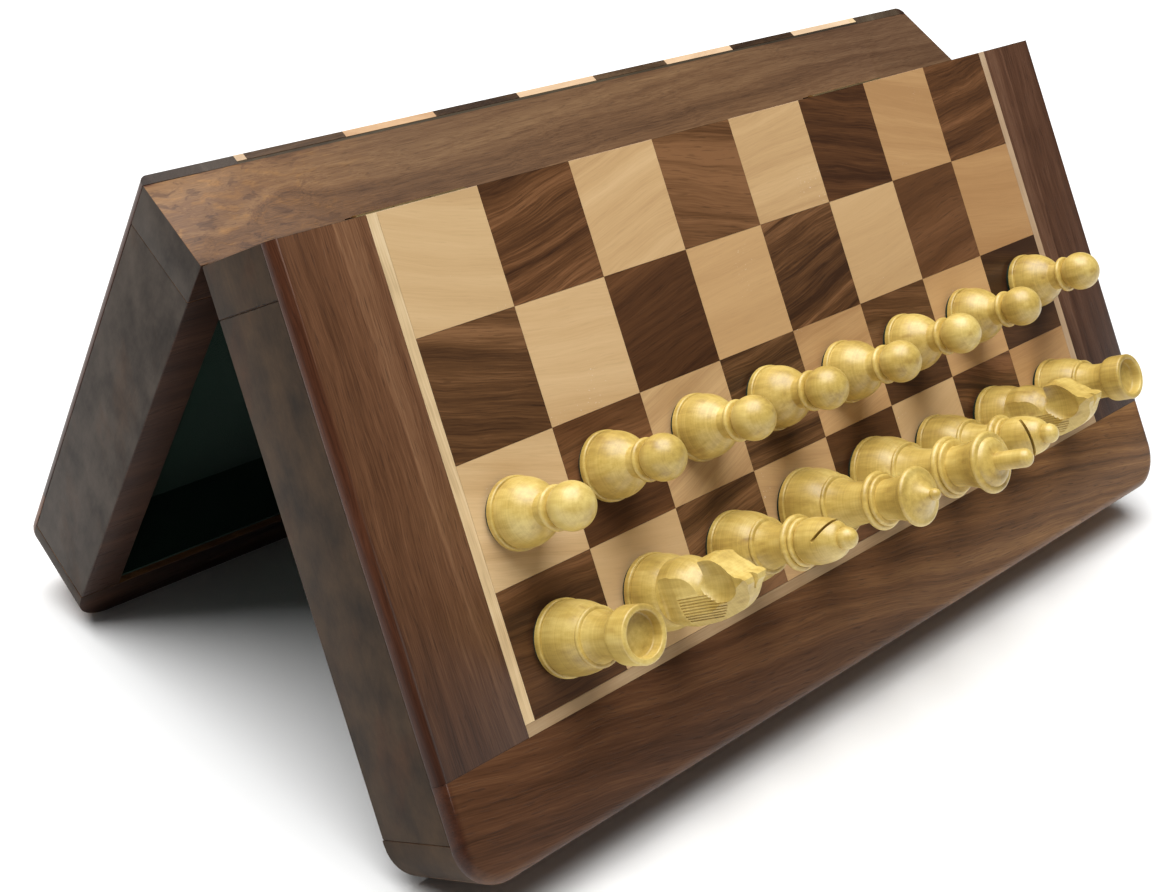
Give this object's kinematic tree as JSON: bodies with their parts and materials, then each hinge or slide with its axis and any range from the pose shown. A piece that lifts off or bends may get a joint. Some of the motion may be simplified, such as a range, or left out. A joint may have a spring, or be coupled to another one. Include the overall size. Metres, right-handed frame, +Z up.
{
  "type": "folding magnetic chess box",
  "caption": "Folding wooden chess box hinged along one long side, standing open as a tent, with turned magnetic men on one board face.",
  "frame": {"origin": "on the standing surface, under the middle of the outline", "axes": "+X along the hinge, from rook_a towards rook_h; -Y towards the half that carries the men; +Z up"},
  "size_m": [0.254, 0.187, 0.1231],
  "materials": {
    "frame_wood": "satin lacquer",
    "end_wall_wood": "fine sanded",
    "panel_wood": "plain",
    "lining_felt": "felt",
    "steel_sheet": "plain",
    "dark_square_wood": "satin lacquer",
    "light_square_wood": "satin lacquer",
    "pale_line_wood": "satin lacquer",
    "border_wood": "satin lacquer",
    "magnet": "nickel plated",
    "hinge_brass": "polished",
    "men_wood": "gloss lacquer",
    "men_felt": "felt"
  },
  "bodies": {
    "front_half": {"front_outer_rail": "frame_wood", "front_hinge_rail": "frame_wood", "front_end_walls": "end_wall_wood", "front_panel": "panel_wood", "front_lining": "lining_felt", "front_steel_sheet": "steel_sheet", "front_dark_squares": "dark_square_wood", "front_light_squares": "light_square_wood", "front_pale_line": "pale_line_wood", "front_border_strips": "border_wood", "front_catch_magnets": "magnet", "front_hinge_leaves": "hinge_brass", "front_hinge_screws": "hinge_brass", "hinge_pins": "hinge_brass"},
    "back_half": {"back_outer_rail": "frame_wood", "back_hinge_rail": "frame_wood", "back_end_walls": "end_wall_wood", "back_panel": "panel_wood", "back_lining": "lining_felt", "back_steel_sheet": "steel_sheet", "back_dark_squares": "dark_square_wood", "back_light_squares": "light_square_wood", "back_pale_line": "pale_line_wood", "back_border_strips": "border_wood", "back_catch_magnets": "magnet", "back_hinge_leaves": "hinge_brass", "back_hinge_screws": "hinge_brass"},
    "pawn_a": {"pawn_a": "men_wood", "pawn_a_base": "men_felt"},
    "pawn_b": {"pawn_b": "men_wood", "pawn_b_base": "men_felt"},
    "pawn_c": {"pawn_c": "men_wood", "pawn_c_base": "men_felt"},
    "pawn_d": {"pawn_d": "men_wood", "pawn_d_base": "men_felt"},
    "pawn_e": {"pawn_e": "men_wood", "pawn_e_base": "men_felt"},
    "pawn_f": {"pawn_f": "men_wood", "pawn_f_base": "men_felt"},
    "pawn_g": {"pawn_g": "men_wood", "pawn_g_base": "men_felt"},
    "pawn_h": {"pawn_h": "men_wood", "pawn_h_base": "men_felt"},
    "rook_a": {"rook_a": "men_wood", "rook_a_base": "men_felt"},
    "knight_b": {"knight_b": "men_wood", "knight_b_base": "men_felt"},
    "bishop_c": {"bishop_c": "men_wood", "bishop_c_base": "men_felt"},
    "queen_d": {"queen_d": "men_wood", "queen_d_base": "men_felt"},
    "king_e": {"king_e": "men_wood", "king_e_base": "men_felt"},
    "bishop_f": {"bishop_f": "men_wood", "bishop_f_base": "men_felt"},
    "knight_g": {"knight_g": "men_wood", "knight_g_base": "men_felt"},
    "rook_h": {"rook_h": "men_wood", "rook_h_base": "men_felt"}
  },
  "joints": [
    {"name": "box_hinge", "type": "hinge", "parent": "front_half", "child": "back_half", "pos_m": [0, 0.01124, 0.11122], "axis": [1, 0, 0], "range_deg": [-57.6, 122.4]},
    {"name": "lift_pawn_a", "type": "slide", "parent": "front_half", "child": "pawn_a", "axis": [0, -0.8763, 0.4818], "range_m": [0, 0.06]},
    {"name": "lift_pawn_b", "type": "slide", "parent": "front_half", "child": "pawn_b", "axis": [0, -0.8763, 0.4818], "range_m": [0, 0.06]},
    {"name": "lift_pawn_c", "type": "slide", "parent": "front_half", "child": "pawn_c", "axis": [0, -0.8763, 0.4818], "range_m": [0, 0.06]},
    {"name": "lift_pawn_d", "type": "slide", "parent": "front_half", "child": "pawn_d", "axis": [0, -0.8763, 0.4818], "range_m": [0, 0.06]},
    {"name": "lift_pawn_e", "type": "slide", "parent": "front_half", "child": "pawn_e", "axis": [0, -0.8763, 0.4818], "range_m": [0, 0.06]},
    {"name": "lift_pawn_f", "type": "slide", "parent": "front_half", "child": "pawn_f", "axis": [0, -0.8763, 0.4818], "range_m": [0, 0.06]},
    {"name": "lift_pawn_g", "type": "slide", "parent": "front_half", "child": "pawn_g", "axis": [0, -0.8763, 0.4818], "range_m": [0, 0.06]},
    {"name": "lift_pawn_h", "type": "slide", "parent": "front_half", "child": "pawn_h", "axis": [0, -0.8763, 0.4818], "range_m": [0, 0.06]},
    {"name": "lift_rook_a", "type": "slide", "parent": "front_half", "child": "rook_a", "axis": [0, -0.8763, 0.4818], "range_m": [0, 0.06]},
    {"name": "lift_knight_b", "type": "slide", "parent": "front_half", "child": "knight_b", "axis": [0, -0.8763, 0.4818], "range_m": [0, 0.06]},
    {"name": "lift_bishop_c", "type": "slide", "parent": "front_half", "child": "bishop_c", "axis": [0, -0.8763, 0.4818], "range_m": [0, 0.06]},
    {"name": "lift_queen_d", "type": "slide", "parent": "front_half", "child": "queen_d", "axis": [0, -0.8763, 0.4818], "range_m": [0, 0.06]},
    {"name": "lift_king_e", "type": "slide", "parent": "front_half", "child": "king_e", "axis": [0, -0.8763, 0.4818], "range_m": [0, 0.06]},
    {"name": "lift_bishop_f", "type": "slide", "parent": "front_half", "child": "bishop_f", "axis": [0, -0.8763, 0.4818], "range_m": [0, 0.06]},
    {"name": "lift_knight_g", "type": "slide", "parent": "front_half", "child": "knight_g", "axis": [0, -0.8763, 0.4818], "range_m": [0, 0.06]},
    {"name": "lift_rook_h", "type": "slide", "parent": "front_half", "child": "rook_h", "axis": [0, -0.8763, 0.4818], "range_m": [0, 0.06]}
  ]
}
